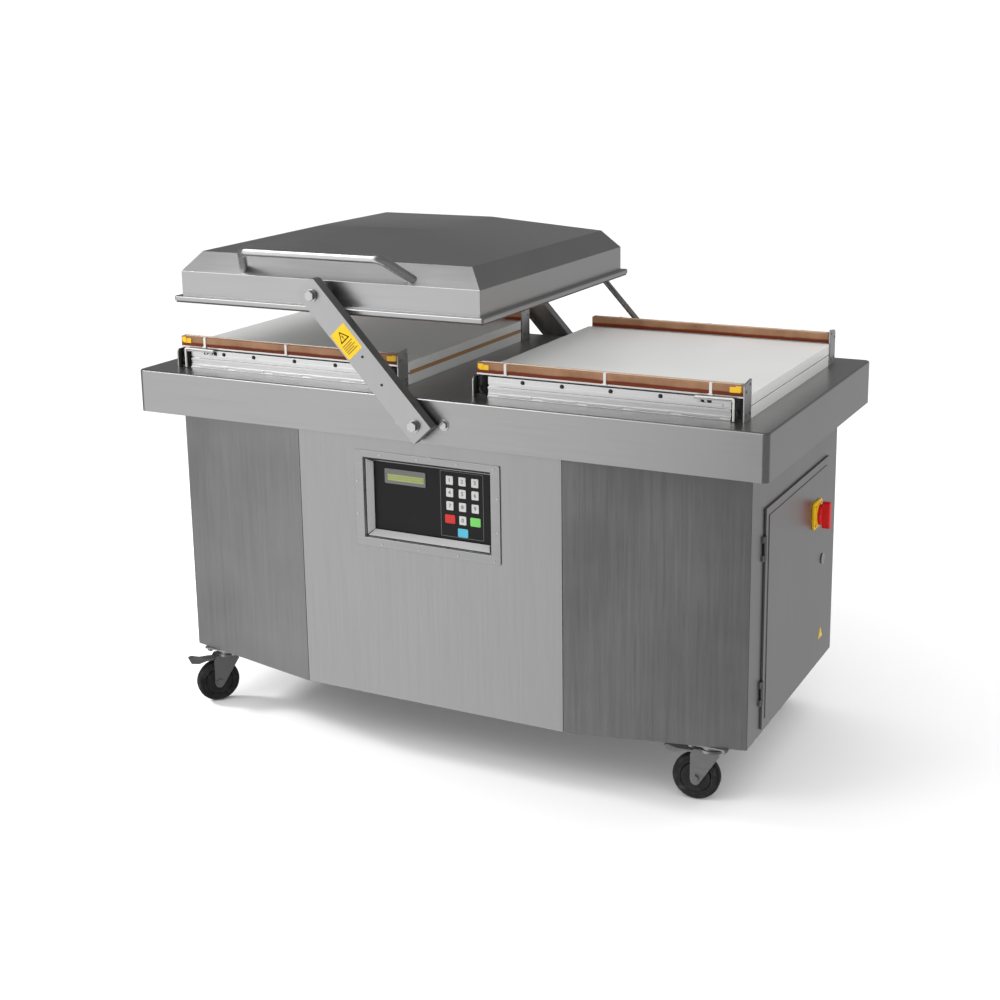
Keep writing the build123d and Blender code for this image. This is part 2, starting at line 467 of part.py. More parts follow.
pins = []
for s in (-1, 1):
    q = cyl((LID_X, s * LID_HY, LID_PIVOT_Z), (LID_X, s * (ARM_Y0 - 1.5), LID_PIVOT_Z), 20)
    q += cyl((LID_X, s * (ARM_Y0 - 2), LID_PIVOT_Z), (LID_X, s * (ARM_Y1 + 1), LID_PIVOT_Z), LID_PIN_R)
    q += cyl((LID_X, s * (ARM_Y1 + 0.4), LID_PIVOT_Z), (LID_X, s * (ARM_Y1 + 3), LID_PIVOT_Z), 15)
    q += hexagon((LID_X, s * (ARM_Y1 + 2.5), LID_PIVOT_Z), (LID_X, s * HEAD_Y, LID_PIVOT_Z), 22)
    pins.append(q)
rx = LID_X + ROD_OFFSET
q = cyl((rx, LID_HY, LID_PIVOT_Z), (rx, ROD_Y - 9, LID_PIVOT_Z), 14)
q += cyl((rx, ROD_Y - 10, LID_PIVOT_Z), (rx, ROD_Y + 9, LID_PIVOT_Z), 8)
q += cyl((rx, ROD_Y + 8.5, LID_PIVOT_Z), (rx, ROD_Y + 15, LID_PIVOT_Z), 13)
pins.append(q)
save("lid_pivot_pins", pins)

# ---------------------------------------------------------------- parallel guide rod at the rear
q = cyl((ROD_OFFSET, TABLE_W / 2, BASE_PIVOT_Z), (ROD_OFFSET, ROD_Y - 9, BASE_PIVOT_Z), 14)
q += cyl((ROD_OFFSET, ROD_Y - 10, BASE_PIVOT_Z), (ROD_OFFSET, ROD_Y + 9, BASE_PIVOT_Z), 8)
q += cyl((ROD_OFFSET, ROD_Y + 8.5, BASE_PIVOT_Z), (ROD_OFFSET, ROD_Y + 15, BASE_PIVOT_Z), 13)
save("rod_pivot_pin", q)
rod = cyl((ROD_OFFSET, ROD_Y, BASE_PIVOT_Z), (rx, ROD_Y, LID_PIVOT_Z), ROD_R)
for x, z, rr in ((ROD_OFFSET, BASE_PIVOT_Z, 8 + RUN), (rx, LID_PIVOT_Z, 9.0)):
    rod += cyl((x, ROD_Y - 8.5, z), (x, ROD_Y + 8.5, z), 16)
for x, z, rr in ((ROD_OFFSET, BASE_PIVOT_Z, 8 + RUN), (rx, LID_PIVOT_Z, 9.0)):
    rod -= cyl((x, ROD_Y - 20, z), (x, ROD_Y + 20, z), rr)
save("guide_rod", rod)

# ---------------------------------------------------------------- castors
cps = []
for k, (cx, cy, ang) in CASTERS.items():
    p = box(cx - 50, cx + 50, cy - 42, cy + 42, BODY_Z0 - 3.5, BODY_Z0)
    p = fillet(p.edges().filter_by(Axis.Z), 8)
    p -= cyl((cx, cy, 100), (cx, cy, 200), 8 + RUN)
    p += cyl((cx, cy, BODY_Z0 - 6), (cx, cy, BODY_Z0 - 3), 36) - cyl((cx, cy, 100), (cx, cy, 200), 30)
    for px in (-1, 1):
        for py in (-1, 1):
            p += hexagon((cx + px * 39, cy + py * 31, BODY_Z0 - 3), (cx + px * 39, cy + py * 31, BODY_Z0 - 9.5), 13)
    cps.append(p)
    place = Pos(cx, cy, 0) * Rot(0, 0, ang)
    # fork: swivel head, two legs, axle bolt, king pin
    head = cyl((0, 0, 128), (0, 0, BODY_Z0 - 6.4), 29) + cyl((0, 0, 124), (0, 0, 130), 33)
    f = head + cyl((0, 0, 130), (0, 0, BODY_Z0 - 0.6), 8)
    for s in (-1, 1):
        ya, yb = sorted((s * (WHEEL_W / 2 + 2.0), s * (WHEEL_W / 2 + 5.0)))
        leg = prism_y([(-TRAIL - 12, 52), (-TRAIL - 9, 43), (-TRAIL - 3, 39), (-TRAIL + 4, 39), (-TRAIL + 9, 43),
                       (14, 104), (20, 114), (20, 126), (-TRAIL - 4, 126), (-TRAIL - 12, 114)], ya, yb)
        f += leg
    f += box(-TRAIL - 4, 20, -WHEEL_W / 2 - 5, WHEEL_W / 2 + 5, 122, 126)
    f += cyl((-TRAIL, -WHEEL_W / 2 - 9, WHEEL_R), (-TRAIL, WHEEL_W / 2 + 9, WHEEL_R), AXLE_R)
    for s in (-1, 1):
        f += hexagon((-TRAIL, s * (WHEEL_W / 2 + 4.9), WHEEL_R), (-TRAIL, s * (WHEEL_W / 2 + 10), WHEEL_R), 15)
    if k.startswith("front"):
        f += cyl((-TRAIL + 12, -WHEEL_W / 2 - 3, 116), (-TRAIL + 12, WHEEL_W / 2 + 3, 116), 2.5)
    save("caster_%s_fork" % k, place * f)
    prof = [(AXLE_R + RUN, -15.5), (14, -15.5), (14, -11), (34, -11), (36, -14), (49, -14), (53, -11), (55, -6),
            (55, 6), (53, 11), (49, 14), (36, 14), (34, 11), (14, 11), (14, 15.5), (AXLE_R + RUN, 15.5)]
    face = make_face(Polyline(*[(r, w, 0) for r, w in prof], close=True))
    w = revolve(face, axis=Axis.Y, revolution_arc=360)
    save("caster_%s_wheel" % k, place * Pos(-TRAIL, 0, WHEEL_R) * w)
    if k.startswith("front"):
        ped = prism_y([(-TRAIL + 19, 112.5), (-TRAIL + 19, 120), (-TRAIL - 44, 120.5), (-TRAIL - 66, 127),
                       (-TRAIL - 74, 124), (-TRAIL - 70, 114), (-TRAIL - 50, 110.5), (-TRAIL - 30, 115),
                       (-TRAIL + 6, 115)], -14, 14)
        ped -= cyl((-TRAIL + 12, -30, 116), (-TRAIL + 12, 30, 116), 2.5 + RUN)
        save("caster_%s_brake" % k, place * ped)
save("caster_plates", cps)

print("lean %.4f deg  arm %.3f mm" % (degrees(LEAN), ARM_R))
c_ang = degrees(acos((T + CLOSED_GAP + PIVOT_OVER_FLANGE - BASE_PIVOT_Z) / ARM_R))
print("closed at %.4f deg from vertical: range %.4f .. %.4f" % (c_ang, -(c_ang - degrees(LEAN)), c_ang + degrees(LEAN)))
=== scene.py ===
import bpy, bmesh, json
from math import sin, cos, radians, pi
from mathutils import Vector, Matrix


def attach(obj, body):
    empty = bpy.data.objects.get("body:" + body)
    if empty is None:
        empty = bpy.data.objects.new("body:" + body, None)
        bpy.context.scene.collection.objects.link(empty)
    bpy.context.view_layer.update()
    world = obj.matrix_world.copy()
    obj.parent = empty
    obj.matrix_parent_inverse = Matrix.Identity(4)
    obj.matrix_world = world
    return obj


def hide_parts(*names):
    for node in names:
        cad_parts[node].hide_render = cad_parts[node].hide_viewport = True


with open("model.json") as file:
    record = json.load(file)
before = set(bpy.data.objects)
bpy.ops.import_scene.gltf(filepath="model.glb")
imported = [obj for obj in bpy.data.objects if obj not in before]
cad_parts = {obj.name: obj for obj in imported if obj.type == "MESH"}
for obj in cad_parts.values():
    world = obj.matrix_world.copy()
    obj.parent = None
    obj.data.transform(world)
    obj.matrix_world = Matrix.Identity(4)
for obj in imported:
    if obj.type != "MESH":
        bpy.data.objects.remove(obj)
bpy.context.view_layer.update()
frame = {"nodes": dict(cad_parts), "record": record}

N = frame["nodes"]
MM = 0.001
T = 0.896                                                # worktop top
BODY = {n: b for b, ns in frame["record"]["behaviour"]["bodies"].items() for n in ns}
scene = bpy.context.scene

# ------------------------------------------------------------------ camera
yaw, pitch, roll = radians(27.349), radians(12.948), radians(-0.853)
ahead, side, up0 = Vector((-sin(yaw), cos(yaw), 0)), Vector((cos(yaw), sin(yaw), 0)), Vector((0, 0, 1))
fwd = ahead * cos(pitch) - up0 * sin(pitch)
up1 = up0 * cos(pitch) + ahead * sin(pitch)
r = side * cos(roll) + up1 * sin(roll)
u = -side * sin(roll) + up1 * cos(roll)
cam_data = bpy.data.cameras.new("camera")
cam = bpy.data.objects.new("camera", cam_data)
scene.collection.objects.link(cam)
m = Matrix((r, u, -fwd)).transposed().to_4x4()
m.translation = Vector((1.7499, -3.4051, 1.6859))
cam.matrix_world = m
cam_data.sensor_fit, cam_data.sensor_width, cam_data.lens, cam_data.shift_y = "HORIZONTAL", 36, 56.49, -0.1
cam_data.dof.use_dof = False
cam_data.clip_start, cam_data.clip_end = 0.05, 200
scene.camera = cam
scene.view_settings.view_transform = "Standard"

# ------------------------------------------------------------------ materials


def new_mat(name):
    mt = bpy.data.materials.new(name)
    mt.use_nodes = True
    nt = mt.node_tree
    return mt, nt, nt.nodes["Principled BSDF"]


def lin(v):
    v = v / 255
    return v / 12.92 if v <= 0.04045 else ((v + 0.055) / 1.055) ** 2.4


def srgb(a, b=None, c=None):
    return (lin(a), lin(a if b is None else b), lin(a if c is None else c))


def noise(nt, coord, scale, detail=3, rough=0.55, stretch=(1, 1, 1)):
    mp = nt.nodes.new("ShaderNodeMapping")
    mp.inputs["Scale"].default_value = stretch
    nt.links.new(coord, mp.inputs["Vector"])
    n = nt.nodes.new("ShaderNodeTexNoise")
    n.inputs["Scale"].default_value, n.inputs["Detail"].default_value = scale, detail
    n.inputs["Roughness"].default_value = rough
    nt.links.new(mp.outputs["Vector"], n.inputs["Vector"])
    return n.outputs["Fac"]


def span(nt, fac, lo, hi, f0=0.3, f1=0.7):
    n = nt.nodes.new("ShaderNodeMapRange")
    n.inputs["From Min"].default_value, n.inputs["From Max"].default_value = f0, f1
    n.inputs["To Min"].default_value, n.inputs["To Max"].default_value = lo, hi
    nt.links.new(fac, n.inputs["Value"])
    return n.outputs["Result"]


def math_node(nt, op, a, b):
    n = nt.nodes.new("ShaderNodeMath")
    n.operation = op
    for i, v in enumerate((a, b)):
        if hasattr(v, "is_output"):
            nt.links.new(v, n.inputs[i])
        else:
            n.inputs[i].default_value = v
    return n.outputs[0]


def mix_col(nt, fac, c0, c1):
    n = nt.nodes.new("ShaderNodeMix")
    n.data_type = "RGBA"
    n.clamp_factor = True
    for i, v in ((0, fac), (6, c0), (7, c1)):
        if hasattr(v, "is_output"):
            nt.links.new(v, n.inputs[i])
        elif i:
            n.inputs[i].default_value = (*v, 1) if len(v) == 3 else v
        else:
            n.inputs[i].default_value = v
    return n.outputs[2]


def tone(c, k):
    return tuple(min(1, v * k) for v in c)


def bump(nt, bs, height, strength, distance):
    b = nt.nodes.new("ShaderNodeBump")
    b.inputs["Strength"].default_value, b.inputs["Distance"].default_value = strength, distance
    nt.links.new(height, b.inputs["Height"])
    nt.links.new(b.outputs["Normal"], bs.inputs["Normal"])


def one_side(nt, value, rough):
    """Keep a varying roughness on one side of 0.27, where the denoiser's guide changes and would leave outlines."""
    return math_node(nt, "MAXIMUM", value, 0.285) if rough >= 0.30 else math_node(nt, "MINIMUM", value, 0.262)


def brushed(name, col, rough=0.34, axis=0, metal=1.0, grain=0.05, smudge=0.07):
    """Brushed stainless sheet: fine lines along one axis, soft handling marks, and a slightly uneven finish."""
    mt, nt, bs = new_mat(name)
    co = nt.nodes.new("ShaderNodeTexCoord").outputs["Object"]
    st = [1.0, 1.0, 1.0]
    st[axis] = 0.012
    fine = noise(nt, co, 520, 2, 0.7, st)
    st2 = [1.0, 1.0, 1.0]
    st2[axis] = 0.03
    mid = noise(nt, co, 120, 3, 0.6, st2)
    big = noise(nt, co, 3.1, 4, 0.55)
    f = math_node(nt, "ADD", math_node(nt, "MULTIPLY", fine, 0.5), math_node(nt, "MULTIPLY", mid, 0.5))
    c = mix_col(nt, span(nt, f, 0, 1, 0.36, 0.64), tone(col, 1 - grain), tone(col, 1 + grain))
    dark = nt.nodes.new("ShaderNodeMix")
    dark.data_type, dark.blend_type = "RGBA", "MULTIPLY"
    dark.inputs[0].default_value = 1
    nt.links.new(c, dark.inputs[6])
    g = span(nt, big, 1 - smudge * 1.7, 1 + smudge * 1.7, 0.1, 0.9)
    comb = nt.nodes.new("ShaderNodeCombineColor")
    for i in range(3):
        nt.links.new(g, comb.inputs[i])
    nt.links.new(comb.outputs[0], dark.inputs[7])
    nt.links.new(dark.outputs[2], bs.inputs["Base Color"])
    bs.inputs["Metallic"].default_value = metal
    rr = math_node(nt, "ADD", span(nt, big, rough - 0.09, rough + 0.09, 0.1, 0.9), span(nt, f, -0.05, 0.05, 0.36, 0.64))
    nt.links.new(one_side(nt, rr, rough), bs.inputs["Roughness"])
    bump(nt, bs, f, 0.12, 0.00005)
    return mt


def moulded(name, col, rough=0.45, vary=0.08, grain=700, bumps=0.15, dist=0.00008, coat=0.0, dust=0.0, metal=0.0):
    """Moulded, cast or painted surface: a fine grain, colour variation and faint dust."""
    mt, nt, bs = new_mat(name)
    co = nt.nodes.new("ShaderNodeTexCoord").outputs["Object"]
    a = noise(nt, co, 9, 4, 0.6)
    b = noise(nt, co, grain, 2, 0.5)
    c = mix_col(nt, span(nt, a, 0, 1, 0.05, 0.95), tone(col, 1 - vary * 1.8), tone(col, 1 + vary * 1.8))
    if dust:
        c = mix_col(nt, span(nt, noise(nt, co, 55, 5, 0.7), 0, dust, 0.5, 0.75), c, (0.35, 0.35, 0.34))
    nt.links.new(c, bs.inputs["Base Color"])
    rr = span(nt, a, rough - 0.09, rough + 0.09, 0.05, 0.95)
    nt.links.new(one_side(nt, rr, rough), bs.inputs["Roughness"])
    bs.inputs["Metallic"].default_value = metal
    if coat:
        bs.inputs["Coat Weight"].default_value = coat
        bs.inputs["Coat Roughness"].default_value = 0.12
    if bumps:
        bump(nt, bs, b, bumps, dist)
    return mt


M = {}
STEEL = srgb(165)                                        # one stainless steel for worktop and cabinet
M["table"] = brushed("steel_worktop", STEEL, 0.33, 0, grain=0.03, smudge=0.06)
for part in ("centre", "left", "right", "side", "door"):
    M[part] = brushed("steel_" + part, STEEL, 0.38, 2, grain=0.035)
M["rear"] = brushed("steel_rear", STEEL, 0.42, 0)
M["bezel"] = brushed("steel_bezel", STEEL, 0.36, 0, grain=0.03)
M["lid"] = brushed("steel_lid", srgb(178), 0.34, 0, grain=0.03, smudge=0.05)
M["arm"] = brushed("steel_arm", srgb(178), 0.38, 2, grain=0.03, smudge=0.04)
M["parts"] = brushed("steel_parts", srgb(190), 0.26, 2, grain=0.08)
M["handle"] = brushed("steel_handle", srgb(196), 0.24, 0, grain=0.06)
M["frame"] = brushed("steel_frame", srgb(120), 0.5, 0)
M["zinc"] = brushed("zinc_plate", srgb(160), 0.40, 0, grain=0.06, smudge=0.12)
M["rubber"] = moulded("tyre_rubber", srgb(17), 0.62, 0.15, 420, 0.3, 0.0002, dust=0.10)
M["pe"] = moulded("white_plate", srgb(214, 214, 213), 0.36, 0.015, 0, 0, 0, coat=0.30)
M["black"] = moulded("black_plastic", srgb(20), 0.42, 0.12, 800, 0.2, dust=0.05)
M["face"] = moulded("control_face", srgb(9, 9, 10), 0.46, 0.05, 1500, 0.10, 0.00003)
M["face"].node_tree.nodes["Principled BSDF"].inputs["Specular IOR Level"].default_value = 0.32
M["lcd"] = moulded("display_housing", srgb(96, 96, 94), 0.32, 0.05)
M["glass"] = moulded("display_window", srgb(140, 148, 84), 0.18, 0.05, 300, 0.02, coat=0.5)
M["key"] = moulded("key_white", srgb(184, 184, 183), 0.40, 0.03, 1200, 0.12)
M["lining"] = moulded("recess_lining", srgb(172), 0.42, 0.03, 900, 0.1)
M["ink"] = moulded("key_ink", srgb(40), 0.5, 0.05)
M["alu"] = brushed("aluminium_rail", srgb(216), 0.34, 0, grain=0.07)
M["endplate"] = brushed("end_plate", srgb(196), 0.40, 2, grain=0.04)
M["brown"] = None
M["sil"] = moulded("silicone", srgb(70, 66, 62), 0.55, 0.1, 500)
M["cast"] = moulded("pump_casting", srgb(120), 0.5, 0.1, 300, 0.4, 0.0003, metal=0.6)
M["yellow"] = moulded("yellow_plastic", srgb(226, 180, 6), 0.38, 0.05, 900, 0.12)
M["label"] = moulded("yellow_label", srgb(226, 184, 4), 0.42, 0.03, 900, 0.06)
M["red"] = moulded("red_plastic", srgb(196, 18, 16), 0.34, 0.07, 900, 0.12)
M["keyred"] = moulded("key_red", srgb(186, 24, 12), 0.4, 0.04)
M["keygreen"] = moulded("key_green", srgb(104, 190, 88), 0.4, 0.04)
M["keycyan"] = moulded("key_cyan", srgb(72, 168, 194), 0.4, 0.04)
M["line"] = moulded("printed_line", srgb(92), 0.45, 0.04)
M["tape"] = moulded("seal_tape", srgb(196, 164, 132), 0.5, 0.06, 900, 0.2)
M["tan"] = moulded("tan_strip", srgb(168, 128, 84), 0.5, 0.08, 600, 0.15)
M["clip"] = moulded("clip_white", srgb(206, 205, 202), 0.4, 0.04)
M["wire"] = brushed("wire_steel", srgb(205), 0.25, 0, grain=0.03)
M["screw"] = moulded("dark_screw", srgb(56), 0.35, 0.1, 900, 0.2, metal=0.7)


def brown_cover(name, hi0, hi1, lo0, lo1):
    """Brown sealing cover: lighter tan face above, a darker band along its lower edge, with streaks along its length."""
    mt, nt, bs = new_mat(name)
    co = nt.nodes.new("ShaderNodeTexCoord").outputs["Object"]
    sep = nt.nodes.new("ShaderNodeSeparateXYZ")
    nt.links.new(co, sep.inputs[0])
    streak = noise(nt, co, 160, 3, 0.6, (0.02, 1, 1))
    patch = noise(nt, co, 14, 4, 0.6, (1, 1, 1))
    hi = mix_col(nt, span(nt, patch, 0, 1), srgb(*hi0), srgb(*hi1))
    lo = mix_col(nt, span(nt, streak, 0, 1), srgb(*lo0), srgb(*lo1))
    edge = math_node(nt, "ADD", sep.outputs["Z"], span(nt, patch, -0.0012, 0.0012))
    c = mix_col(nt, span(nt, edge, 0, 1, T + 0.0615, T + 0.0640), lo, hi)
    nt.links.new(c, bs.inputs["Base Color"])
    nt.links.new(span(nt, patch, 0.34, 0.5), bs.inputs["Roughness"])
    bs.inputs["Specular IOR Level"].default_value = 0.25
    bump(nt, bs, streak, 0.2, 0.0001)
    return mt


M["brown"] = brown_cover("brown_cover", (126, 90, 64), (156, 118, 90), (84, 28, 4), (118, 46, 10))

NODE_MAT = {
    "table_top": "table", "front_center_panel": "centre", "front_left_panel": "left", "front_right_panel": "right",
    "left_side_panel": "side", "right_side_panel": "side", "rear_panel": "rear", "bottom_plate": "rear",
    "base_frame": "frame", "control_bezel": "bezel", "control_plate": "face", "lcd_module": "lcd",
    "number_keys": "key", "function_keys": "keygreen", "cable_gland": "black", "service_door": "door",
    "door_hinges": "side", "switch_plate": "yellow", "switch_handle": "red", "insert_plates": "pe", "guide_cylinders": "black",
    "end_plates": "endplate", "support_rails": "alu", "front_arm": "arm", "rear_arm": "arm", "lid_shell": "lid",
    "lid_gasket": "sil", "counter_bars": "alu", "vacuum_pump": "cast", "pump_motor": "cast",
    "suction_manifold": "parts", "caster_plates": "zinc", "lid_handle": "handle"}
for n in N:
    if n not in NODE_MAT:
        NODE_MAT[n] = ("brown" if "cover" in n else "alu" if "seal_bar" in n else "rubber" if "wheel" in n
                       else "zinc" if "caster" in n else "parts")

# ------------------------------------------------------------------ mesh tools


def link(name, me, mat, body):
    o = bpy.data.objects.new(name, me)
    scene.collection.objects.link(o)
    me.materials.clear()
    me.materials.append(M[mat] if isinstance(mat, str) else mat)
    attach(o, body)
    return o


def finish_mesh(bm, name, mat, body, sharp=40):
    bmesh.ops.recalc_face_normals(bm, faces=bm.faces)
    me = bpy.data.meshes.new(name)
    bm.to_mesh(me)
    bm.free()
    me.shade_smooth()
    me.set_sharp_from_angle(angle=radians(sharp))
    o = link(name, me, mat, body)
    w = o.modifiers.new("normals", "WEIGHTED_NORMAL")
    w.keep_sharp = True
    return o


def bevel_sharp(bm, width, seg=2, angle=28):
    es = [e for e in bm.edges if e.is_manifold and e.calc_face_angle(0) > radians(angle)]
    if es and width > 0:
        bmesh.ops.bevel(bm, geom=es, offset=width, offset_type="OFFSET", segments=seg, profile=0.5,
                        affect="EDGES", clamp_overlap=True)


def rebuild(node, width, mat=None, seg=2):
    """The CAD node as a clean mesh with rounded edges, riding on the same body."""
    bm = bmesh.new()
    bm.from_mesh(N[node].data)
    bmesh.ops.remove_doubles(bm, verts=bm.verts, dist=2e-6)
    bmesh.ops.dissolve_limit(bm, angle_limit=radians(0.6), verts=bm.verts, edges=bm.edges)
    bevel_sharp(bm, width * MM, seg)
    bmesh.ops.triangulate(bm, faces=[f for f in bm.faces if len(f.verts) > 4])
    bmesh.ops.dissolve_degenerate(bm, dist=1e-6, edges=bm.edges)
    o = finish_mesh(bm, node + "_finished", mat or NODE_MAT[node], BODY[node])
    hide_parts(node)
    return o


def block(name, b, mat, body, bevel=0.4, seg=2, rot=None, at=None):
    x0, x1, y0, y1, z0, z1 = [v * MM for v in b]
    bm = bmesh.new()
    bmesh.ops.create_cube(bm, size=1)
    bmesh.ops.scale(bm, vec=(x1 - x0, y1 - y0, z1 - z0), verts=bm.verts)
    bmesh.ops.translate(bm, vec=((x0 + x1) / 2, (y0 + y1) / 2, (z0 + z1) / 2), verts=bm.verts)
    bevel_sharp(bm, bevel * MM, seg)
    if rot is not None:
        bmesh.ops.transform(bm, matrix=rot, verts=bm.verts)
    return finish_mesh(bm, name, mat, body)


def round_bar(bm, p0, p1, rad, bevel=0.3, n=28, rad2=None):
    p0, p1 = Vector(p0) * MM, Vector(p1) * MM
    d = p1 - p0
    part = bmesh.new()
    bmesh.ops.create_cone(part, cap_ends=True, segments=n, radius1=rad * MM, radius2=(rad if rad2 is None else rad2) * MM,
                          depth=d.length)
    bevel_sharp(part, bevel * MM, 2, 50)
    bmesh.ops.transform(part, matrix=Matrix.Translation((p0 + p1) / 2) @ d.to_track_quat("Z", "Y").to_matrix().to_4x4(),
                        verts=part.verts)
    me = bpy.data.meshes.new("tmp")
    part.to_mesh(me)
    part.free()
    bm.from_mesh(me)
    bpy.data.meshes.remove(me)


def add_block(bm, b, bevel=0.3):
    x0, x1, y0, y1, z0, z1 = [v * MM for v in b]
    part = bmesh.new()
    bmesh.ops.create_cube(part, size=1)
    bmesh.ops.scale(part, vec=(x1 - x0, y1 - y0, z1 - z0), verts=part.verts)
    bmesh.ops.translate(part, vec=((x0 + x1) / 2, (y0 + y1) / 2, (z0 + z1) / 2), verts=part.verts)
    bevel_sharp(part, bevel * MM, 2)
    me = bpy.data.meshes.new("tmp")
    part.to_mesh(me)
    part.free()
    bm.from_mesh(me)
    bpy.data.meshes.remove(me)


def tube(name, pts, rad, mat, body, res=6):
    cu = bpy.data.curves.new(name + "_path", "CURVE")
    cu.dimensions, cu.bevel_depth, cu.bevel_resolution, cu.use_fill_caps = "3D", rad * MM, 4, True
    sp = cu.splines.new("NURBS")
    sp.points.add(len(pts) - 1)
    for p, q in zip(sp.points, pts):
        p.co = (q[0] * MM, q[1] * MM, q[2] * MM, 1)
    sp.order_u, sp.use_endpoint_u, sp.resolution_u = 3, True, res
    tmp = bpy.data.objects.new(name + "_tmp", cu)
    scene.collection.objects.link(tmp)
    bpy.context.view_layer.update()
    me = bpy.data.meshes.new_from_object(tmp.evaluated_get(bpy.context.evaluated_depsgraph_get()))
    bpy.data.objects.remove(tmp)
    bpy.data.curves.remove(cu)
    bm = bmesh.new()
    bm.from_mesh(me)
    bpy.data.meshes.remove(me)
    bmesh.ops.remove_doubles(bm, verts=bm.verts, dist=1e-6)
    return finish_mesh(bm, name, mat, body, 60)


def text_mesh(name, items, mat, body, depth=0.25):
    """Raised printed characters on a vertical face looking to -Y: (text, x, y, z, size), in mm."""
    bm = bmesh.new()
    for t, x, y, z, size in items:
        cu = bpy.data.curves.new("t", "FONT")
        cu.body, cu.size, cu.align_x, cu.align_y, cu.extrude = t, size * MM, "CENTER", "CENTER", depth * MM / 2
        cu.resolution_u = 3
        tmp = bpy.data.objects.new("t", cu)
        scene.collection.objects.link(tmp)
        tmp.matrix_world = Matrix.Translation((x * MM, (y - depth / 2) * MM, z * MM)) @ Matrix.Rotation(pi / 2, 4, "X")
        bpy.context.view_layer.update()
        me = bpy.data.meshes.new_from_object(tmp.evaluated_get(bpy.context.evaluated_depsgraph_get()))
        me.transform(tmp.matrix_world)
        bm.from_mesh(me)
        bpy.data.meshes.remove(me)
        bpy.data.objects.remove(tmp)
        bpy.data.curves.remove(cu)
    bmesh.ops.remove_doubles(bm, verts=bm.verts, dist=1e-6)
    return finish_mesh(bm, name, mat, body)


# ------------------------------------------------------------------ every CAD node, finished
WIDTH = {"table_top": 1.2, "front_center_panel": 0.6, "front_left_panel": 0.6, "front_right_panel": 0.6,
         "left_side_panel": 0.6, "right_side_panel": 0.6, "rear_panel": 0.5, "control_bezel": 0.6,
         "control_plate": 0.4, "lcd_module": 0.6, "number_keys": 0.7, "service_door": 0.9,
         "switch_plate": 1.2, "switch_handle": 1.5, "insert_plates": 1.0, "guide_cylinders": 0.6, "end_plates": 0.8,
         "support_rails": 0.5, "front_arm": 1.8, "rear_arm": 1.8, "lid_shell": 0.8, "lid_gasket": 1.0,
         "counter_bars": 0.8, "arm_bolts": 0.8, "apron_bolts": 0.8, "lid_pivot_pins": 0.8, "door_lock": 0.5,
         "cable_gland": 0.6, "door_hinges": 0.5}
for n in sorted(N):
    if n in ("function_keys", "base_frame", "vacuum_pump", "pump_motor", "suction_manifold", "shaft_bearings", "bottom_plate"):
        continue
    w = WIDTH.get(n, 0.5)
    if "seal_bar" in n or "bar_cover" in n:
        w = 0.4
    if "wheel" in n:
        w = 1.2
    if "fork" in n or "brake" in n:
        w = 0.5
    rebuild(n, w)
for n in ("base_frame", "vacuum_pump", "pump_motor", "suction_manifold", "shaft_bearings", "bottom_plate"):
    o = N[n]
    o.data.materials.clear()
    o.data.materials.append(M[NODE_MAT[n]])

# coloured keys: one node in CAD, three finishes here
fb = bmesh.new()
fb.from_mesh(N["function_keys"].data)
bmesh.ops.remove_doubles(fb, verts=fb.verts, dist=2e-6)
bmesh.ops.dissolve_limit(fb, angle_limit=radians(0.6), verts=fb.verts, edges=fb.edges)
bevel_sharp(fb, 0.7 * MM)
fo = finish_mesh(fb, "function_keys_finished", "keyred", "base")
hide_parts("function_keys")
fo.data.materials.append(M["keygreen"])
fo.data.materials.append(M["keycyan"])

for v in fo.data.vertices:                       # the coloured keys are wider than the digit keys
    k = min((52, 85, 118), key=lambda q: abs(q * MM - v.co.x)) * MM
    v.co.x = k + (v.co.x - k) * 1.22
for p in fo.data.polygons:
    c = p.center
    p.material_index = 0 if c.x < 0.070 else (1 if c.z > 0.594 or c.x < 0.0 else 2)

# ------------------------------------------------------------------ control field
for v in bpy.data.objects["number_keys_finished"].data.vertices:
    k = min((52, 85, 118), key=lambda q: abs(q * MM - v.co.x)) * MM
    v.co.x = k + (v.co.x - k) * 0.84
for nm, ring in (("sill", [(-159, -399.5, 549.0), (163, -399.5, 549.0), (154.4, -382.8, 559.8), (-150.4, -382.8, 559.8)]),
                 ("cheek", [(-160.5, -399.5, 551.0), (-150.8, -382.8, 560.5), (-150.8, -382.8, 724.5), (-160.5, -399.5, 734.0)])):
    off = (0, 0, -0.9) if nm == "sill" else (-0.9, 0, 0)
    qb = bmesh.new()
    a = [qb.verts.new(Vector(q) * MM) for q in ring]
    b = [qb.verts.new((Vector(q) + Vector(off)) * MM) for q in ring]
    qb.faces.new(a)
    qb.faces.new(list(reversed(b)))
    for i in range(4):
        j = (i + 1) % 4
        qb.faces.new((a[j], a[i], b[i], b[j]))
    bevel_sharp(qb, 0.2 * MM)
    finish_mesh(qb, "recess_" + nm, "lining", "base")
FY = -380.0
digits = []
for i, (cx_, cz_) in enumerate([(x, z) for z in (702, 672.5, 641) for x in (52, 85, 118)]):
    digits.append((str(i + 1), cx_, FY - 1.6, cz_, 13))
digits.append(("0", 85, FY - 1.6, 609, 13))
text_mesh("key_digits", digits, "ink", "base")
lb = bmesh.new()
for b in ((27, 28.2, 567, 723), (137.8, 139, 567, 723), (27, 139, 566.4, 567.6), (27, 139, 722.4, 723.6)):
    add_block(lb, (b[0], b[1], FY - 0.35, FY + 0.2, b[2], b[3]), 0.05)
finish_mesh(lb, "keypad_outline", "line", "base")
block("display_glass", (-113, -16, FY - 2.0, FY - 0.2, 684, 699), "glass", "base", 0.3)
cb = bmesh.new()
for i in range(12):
    for row in (687.2, 692.6):
        add_block(cb, (-110 + i * 7.8, -110 + i * 7.8 + 5.4, FY - 2.15, FY - 1.95, row, row + 3.6), 0.04)
